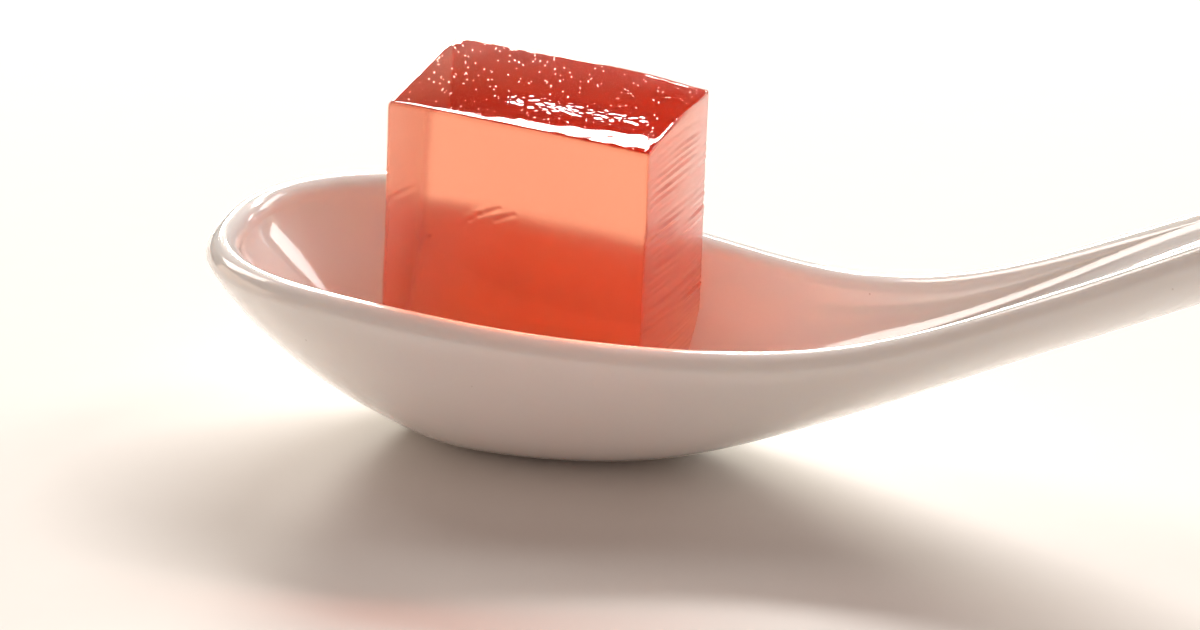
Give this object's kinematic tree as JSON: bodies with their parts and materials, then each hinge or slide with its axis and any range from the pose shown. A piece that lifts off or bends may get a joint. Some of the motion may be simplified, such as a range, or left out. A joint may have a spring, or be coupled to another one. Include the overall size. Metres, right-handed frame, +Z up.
{
  "type": "jelly block in a soup spoon",
  "caption": "Translucent red jelly cut into an upright block, standing in a deep porcelain soup spoon with a channelled, rising handle and a flat foot.",
  "frame": {"origin": "on the spoon's flat foot, under the deepest part of the bowl, on the surface that the spoon stands on", "axes": "+X along the spoon from the bowl's tip to the handle's end, +Z up, +Y across the bowl towards the side that the jelly leans on"},
  "size_m": [0.1299, 0.0404, 0.0418],
  "materials": {
    "porcelain": "clear gloss glaze",
    "jelly": "wet, translucent"
  },
  "bodies": {
    "root": {"spoon": "porcelain", "jelly": "jelly"}
  },
  "joints": []
}
